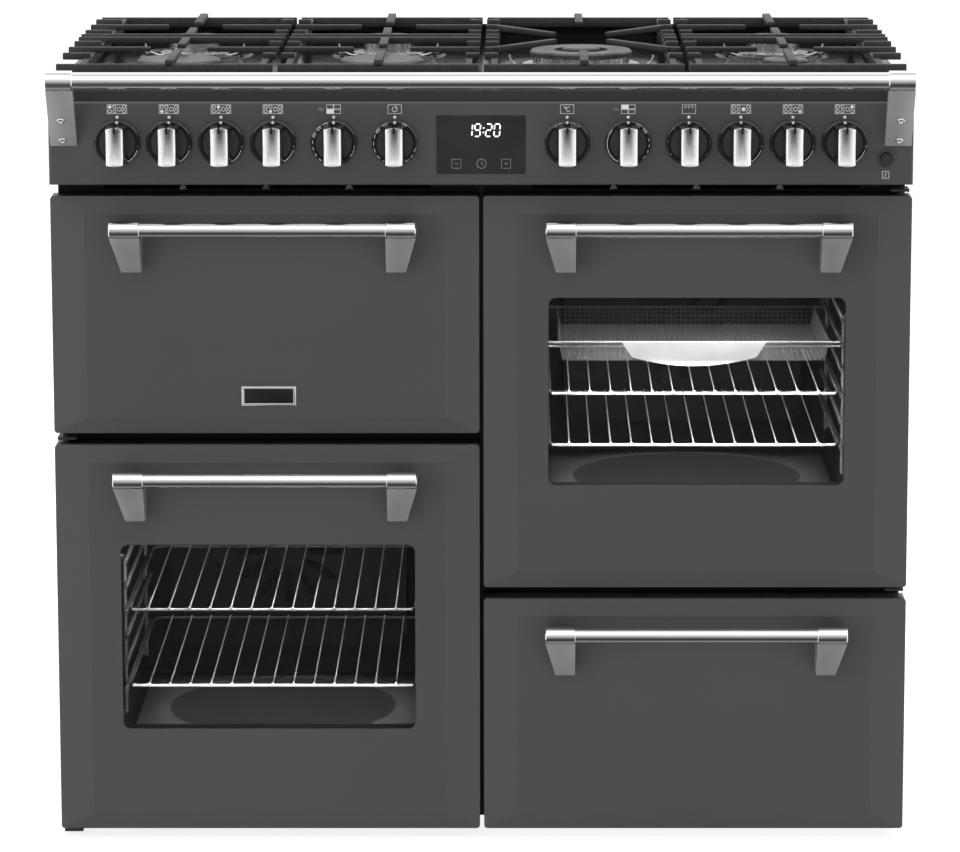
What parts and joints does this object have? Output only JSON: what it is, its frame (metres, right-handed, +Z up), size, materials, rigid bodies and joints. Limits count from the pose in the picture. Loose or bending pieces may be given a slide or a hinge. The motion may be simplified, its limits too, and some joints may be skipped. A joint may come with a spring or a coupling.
{
  "type": "dual fuel range cooker",
  "caption": "Free-standing dual fuel range cooker: gas hob under cast supports, knob panel with clock, towel rail, drop-down grill door, side-hung oven doors and a storage drawer.",
  "frame": {"origin": "on the floor, under the middle of the whole cooker's box", "axes": "+Z up, +X to the right seen from the front, +Y to the back, doors face -Y"},
  "size_m": [1, 0.675, 0.925],
  "materials": {
    "grey_paint": "smooth satin grey enamel paint",
    "black_enamel": "glossy black enamel",
    "oven_enamel": "dark speckled oven enamel",
    "carcass_steel": "zinc coated sheet",
    "black_steel": "black coated steel",
    "cast_iron": "matt black enamelled cast iron",
    "cap_enamel": "satin grey enamel",
    "burner_aluminium": "cast aluminium",
    "polished_steel": "polished",
    "satin_steel": "satin grey",
    "bright_wire": "bright plated wire",
    "element_steel": "heat-dulled steel",
    "knob_plastic": "black with a bright grip face",
    "switch_plastic": "moulded",
    "foot_plastic": "moulded",
    "ceramic": "glazed ceramic",
    "brass": "machined",
    "seal_rubber": "woven silicone gasket",
    "door_glass": "dark tinted glass",
    "display_glass": "black glass"
  },
  "bodies": {
    "carcass": {"base_tray": "carcass_steel", "body_panels": "carcass_steel", "front_frame": "black_enamel", "levelling_feet": "foot_plastic", "hob_tray": "black_enamel", "burner_heads": "burner_aluminium", "burner_caps": "cap_enamel", "burner_electrodes": "ceramic", "gas_rail": "brass", "control_modules": "switch_plastic", "control_fascia": "grey_paint", "display_window": "display_glass", "handrail": "polished_steel", "handrail_brackets": "satin_steel", "grill_cavity": "oven_enamel", "left_oven_cavity": "oven_enamel", "right_oven_cavity": "oven_enamel", "heating_elements": "element_steel", "fan_covers": "oven_enamel", "fan_motors": "carcass_steel", "side_racks": "bright_wire", "oven_shelves": "bright_wire", "fry_basket": "bright_wire", "basket_handle": "satin_steel", "door_seals": "seal_rubber", "hinge_brackets": "black_steel", "drawer_runners": "carcass_steel"},
    "left_fan": {"left_fan": "element_steel"},
    "right_fan": {"right_fan": "element_steel"},
    "ignition_button": {"ignition_button": "knob_plastic"},
    "grill_door": {"grill_door_panel": "grey_paint", "grill_door_liner": "oven_enamel", "grill_door_handle": "polished_steel"},
    "left_oven_door": {"left_door_panel": "grey_paint", "left_door_liner": "oven_enamel", "left_door_glass": "door_glass", "left_door_handle": "polished_steel"},
    "right_oven_door": {"right_door_panel": "grey_paint", "right_door_liner": "oven_enamel", "right_door_glass": "door_glass", "right_door_handle": "polished_steel"},
    "drawer": {"drawer_front": "grey_paint", "drawer_box": "carcass_steel", "drawer_handle": "polished_steel"},
    "pan_support_left": {"pan_support_left": "cast_iron"},
    "pan_support_mid_left": {"pan_support_mid_left": "cast_iron"},
    "pan_support_wok": {"pan_support_wok": "cast_iron"},
    "pan_support_right": {"pan_support_right": "cast_iron"},
    "knob_01": {"knob_01": "knob_plastic"},
    "knob_02": {"knob_02": "knob_plastic"},
    "knob_03": {"knob_03": "knob_plastic"},
    "knob_04": {"knob_04": "knob_plastic"},
    "knob_05": {"knob_05": "knob_plastic"},
    "knob_06": {"knob_06": "knob_plastic"},
    "knob_07": {"knob_07": "knob_plastic"},
    "knob_08": {"knob_08": "knob_plastic"},
    "knob_09": {"knob_09": "knob_plastic"},
    "knob_10": {"knob_10": "knob_plastic"},
    "knob_11": {"knob_11": "knob_plastic"},
    "knob_12": {"knob_12": "knob_plastic"}
  },
  "joints": [
    {"name": "grill_door_drop", "type": "hinge", "parent": "carcass", "child": "grill_door", "pos_m": [-0.25125, -0.2605, 0.499], "axis": [1, 0, 0], "range_deg": [0, 90], "stiffness_Nm_per_rad": 2, "springref_deg": -57.3},
    {"name": "left_oven_door_swing", "type": "hinge", "parent": "carcass", "child": "left_oven_door", "pos_m": [-0.489, -0.2495, 0.2445], "axis": [0, 0, -1], "range_deg": [0, 100]},
    {"name": "right_oven_door_swing", "type": "hinge", "parent": "carcass", "child": "right_oven_door", "pos_m": [0.489, -0.2495, 0.5385], "axis": [0, 0, 1], "range_deg": [0, 100]},
    {"name": "drawer_slide", "type": "slide", "parent": "carcass", "child": "drawer", "axis": [0, -1, 0], "range_m": [0, 0.4]},
    {"name": "knob_01_turn", "type": "hinge", "parent": "carcass", "child": "knob_01", "pos_m": [-0.42, -0.2805, 0.834], "axis": [0, -1, 0], "range_deg": [0, 210]},
    {"name": "knob_02_turn", "type": "hinge", "parent": "carcass", "child": "knob_02", "pos_m": [-0.36, -0.2805, 0.834], "axis": [0, -1, 0], "range_deg": [0, 210]},
    {"name": "knob_03_turn", "type": "hinge", "parent": "carcass", "child": "knob_03", "pos_m": [-0.3, -0.2805, 0.834], "axis": [0, -1, 0], "range_deg": [0, 210]},
    {"name": "knob_04_turn", "type": "hinge", "parent": "carcass", "child": "knob_04", "pos_m": [-0.24, -0.2805, 0.834], "axis": [0, -1, 0], "range_deg": [0, 210]},
    {"name": "knob_05_turn", "type": "hinge", "parent": "carcass", "child": "knob_05", "pos_m": [-0.17, -0.2805, 0.834], "axis": [0, -1, 0], "range_deg": [-280, 0]},
    {"name": "knob_06_turn", "type": "hinge", "parent": "carcass", "child": "knob_06", "pos_m": [-0.0995, -0.2805, 0.834], "axis": [0, -1, 0], "range_deg": [-320, 0]},
    {"name": "knob_07_turn", "type": "hinge", "parent": "carcass", "child": "knob_07", "pos_m": [0.0995, -0.2805, 0.834], "axis": [0, -1, 0], "range_deg": [-40, 40]},
    {"name": "knob_08_turn", "type": "hinge", "parent": "carcass", "child": "knob_08", "pos_m": [0.17, -0.2805, 0.834], "axis": [0, -1, 0], "range_deg": [-280, 0]},
    {"name": "knob_09_turn", "type": "hinge", "parent": "carcass", "child": "knob_09", "pos_m": [0.24, -0.2805, 0.834], "axis": [0, -1, 0], "range_deg": [-150, 60]},
    {"name": "knob_10_turn", "type": "hinge", "parent": "carcass", "child": "knob_10", "pos_m": [0.3, -0.2805, 0.834], "axis": [0, -1, 0], "range_deg": [0, 210]},
    {"name": "knob_11_turn", "type": "hinge", "parent": "carcass", "child": "knob_11", "pos_m": [0.36, -0.2805, 0.834], "axis": [0, -1, 0], "range_deg": [0, 210]},
    {"name": "knob_12_turn", "type": "hinge", "parent": "carcass", "child": "knob_12", "pos_m": [0.42, -0.2805, 0.834], "axis": [0, -1, 0], "range_deg": [0, 210]},
    {"name": "ignition_press", "type": "slide", "parent": "carcass", "child": "ignition_button", "axis": [0, 1, 0], "range_m": [0, 0.003], "stiffness_N_per_m": 300},
    {"name": "left_support_lift", "type": "slide", "parent": "carcass", "child": "pan_support_left", "axis": [0, 0, 1], "range_m": [0, 0.06]},
    {"name": "mid_left_support_lift", "type": "slide", "parent": "carcass", "child": "pan_support_mid_left", "axis": [0, 0, 1], "range_m": [0, 0.06]},
    {"name": "wok_support_lift", "type": "slide", "parent": "carcass", "child": "pan_support_wok", "axis": [0, 0, 1], "range_m": [0, 0.06]},
    {"name": "right_support_lift", "type": "slide", "parent": "carcass", "child": "pan_support_right", "axis": [0, 0, 1], "range_m": [0, 0.06]},
    {"name": "left_fan_spin", "type": "hinge", "parent": "carcass", "child": "left_fan", "pos_m": [-0.25125, 0.1755, 0.2545], "axis": [0, 1, 0], "continuous": true},
    {"name": "right_fan_spin", "type": "hinge", "parent": "carcass", "child": "right_fan", "pos_m": [0.25125, 0.1755, 0.5485], "axis": [0, 1, 0], "continuous": true}
  ]
}
